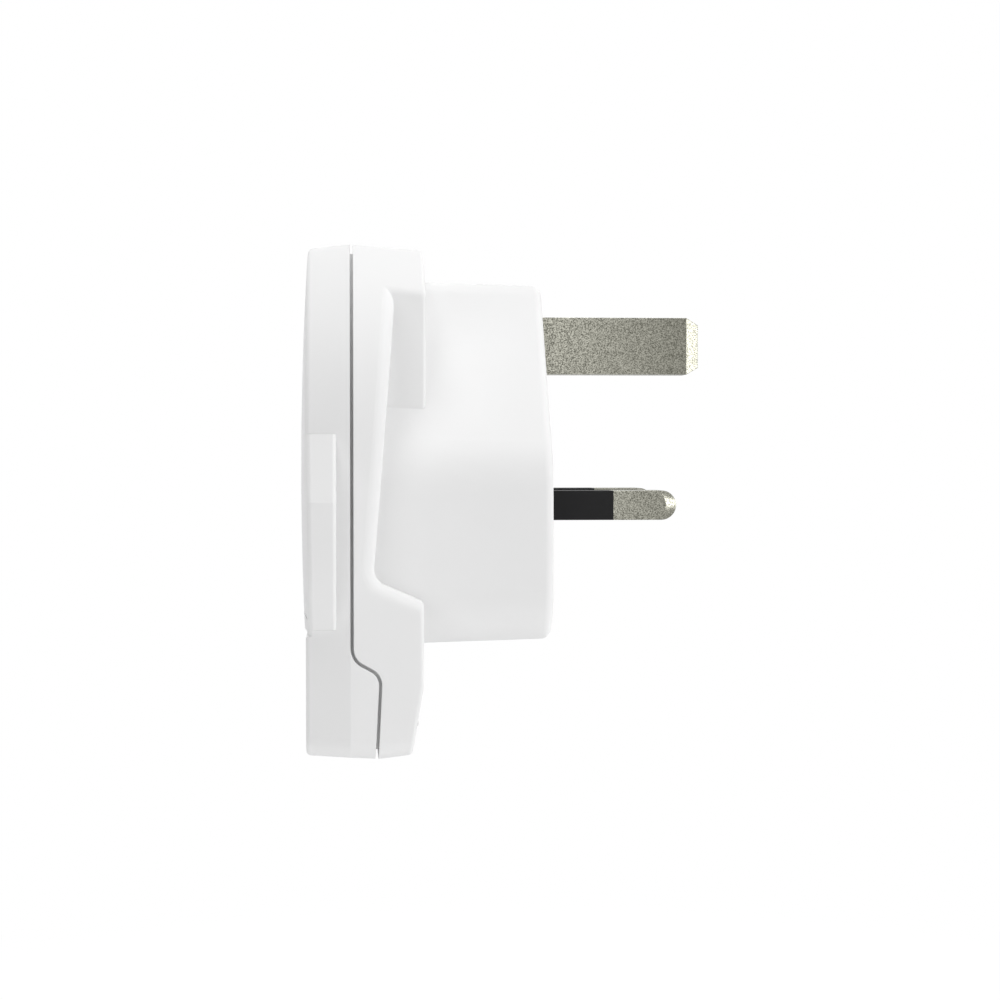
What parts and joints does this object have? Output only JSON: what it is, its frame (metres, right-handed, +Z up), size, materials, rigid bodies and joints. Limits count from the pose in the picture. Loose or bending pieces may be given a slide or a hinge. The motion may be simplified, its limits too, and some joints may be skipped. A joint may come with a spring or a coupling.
{
  "type": "travel adapter with usb",
  "caption": "Travel adapter with a British plug behind an arch-topped white housing, a domed shuttered world socket in front and USB ports under the chin.",
  "frame": {"origin": "on the plug's engaging face, midway between the line and neutral pins", "axes": "+X out of the plug face along the pins, +Z up towards the earth pin, Y across"},
  "size_m": [0.0561, 0.064, 0.0688],
  "materials": {
    "white_plastic": "satin moulded white",
    "face_plastic": "semi-gloss white",
    "carrier_plastic": "natural nylon",
    "shutter_plastic": "grey acetal",
    "fuse_plastic": "satin moulded white",
    "tongue_plastic": "white",
    "black_sleeve": "satin black",
    "plated_brass": "dull nickel plate, fine grain",
    "contact_brass": "bright stamped strip",
    "spring_steel": "drawn wire",
    "screw_steel": "zinc plate",
    "usb_steel": "tin plate",
    "fuse_metal": "plated cap",
    "fuse_ceramic": "unglazed",
    "board_laminate": "green solder resist",
    "ferrite": "matt sintered",
    "winding_tape": "yellow tape",
    "capacitor_sleeve": "shrunk sleeve",
    "capacitor_can": "plain can",
    "chip_resin": "moulded resin",
    "blue_resin": "dipped resin",
    "resistor_coat": "lacquer",
    "brown_lead": "brown insulation",
    "blue_lead": "blue insulation"
  },
  "bodies": {
    "housing": {"front_shell": "white_plastic", "socket_faceplate": "face_plastic", "rear_shell": "white_plastic", "line_pin": "plated_brass", "neutral_pin": "plated_brass", "earth_pin": "plated_brass", "line_sleeve": "black_sleeve", "neutral_sleeve": "black_sleeve", "contact_carrier": "carrier_plastic", "shutter_spring": "spring_steel", "line_contact": "contact_brass", "neutral_contact": "contact_brass", "earth_contact": "contact_brass", "fuse_clip_supply": "contact_brass", "fuse_clip_load": "contact_brass", "circuit_board": "board_laminate", "usb_shell_left": "usb_steel", "usb_shell_right": "usb_steel", "usb_tongue_left": "tongue_plastic", "usb_tongue_right": "tongue_plastic", "usb_terminals_left": "contact_brass", "usb_terminals_right": "contact_brass", "transformer_core": "ferrite", "transformer_winding": "winding_tape", "input_capacitor": "capacitor_sleeve", "output_capacitors": "capacitor_can", "bridge_rectifier": "chip_resin", "controller_chip": "chip_resin", "safety_capacitor": "blue_resin", "fusible_resistor": "resistor_coat", "line_lead": "brown_lead", "neutral_lead": "blue_lead", "housing_screws": "screw_steel"},
    "shutter": {"shutter": "shutter_plastic"},
    "fuse_carrier": {"fuse_carrier": "fuse_plastic", "fuse_body": "fuse_ceramic", "fuse_caps": "fuse_metal"}
  },
  "joints": [
    {"name": "shutter_slide", "type": "slide", "parent": "housing", "child": "shutter", "axis": [0, 0, -1], "range_m": [0, 0.0069], "stiffness_N_per_m": 40, "springref_m": -0.004, "deforming": ["shutter_spring"]},
    {"name": "fuse_carrier_pull", "type": "slide", "parent": "housing", "child": "fuse_carrier", "axis": [1, 0, 0], "range_m": [0, 0.03]}
  ]
}
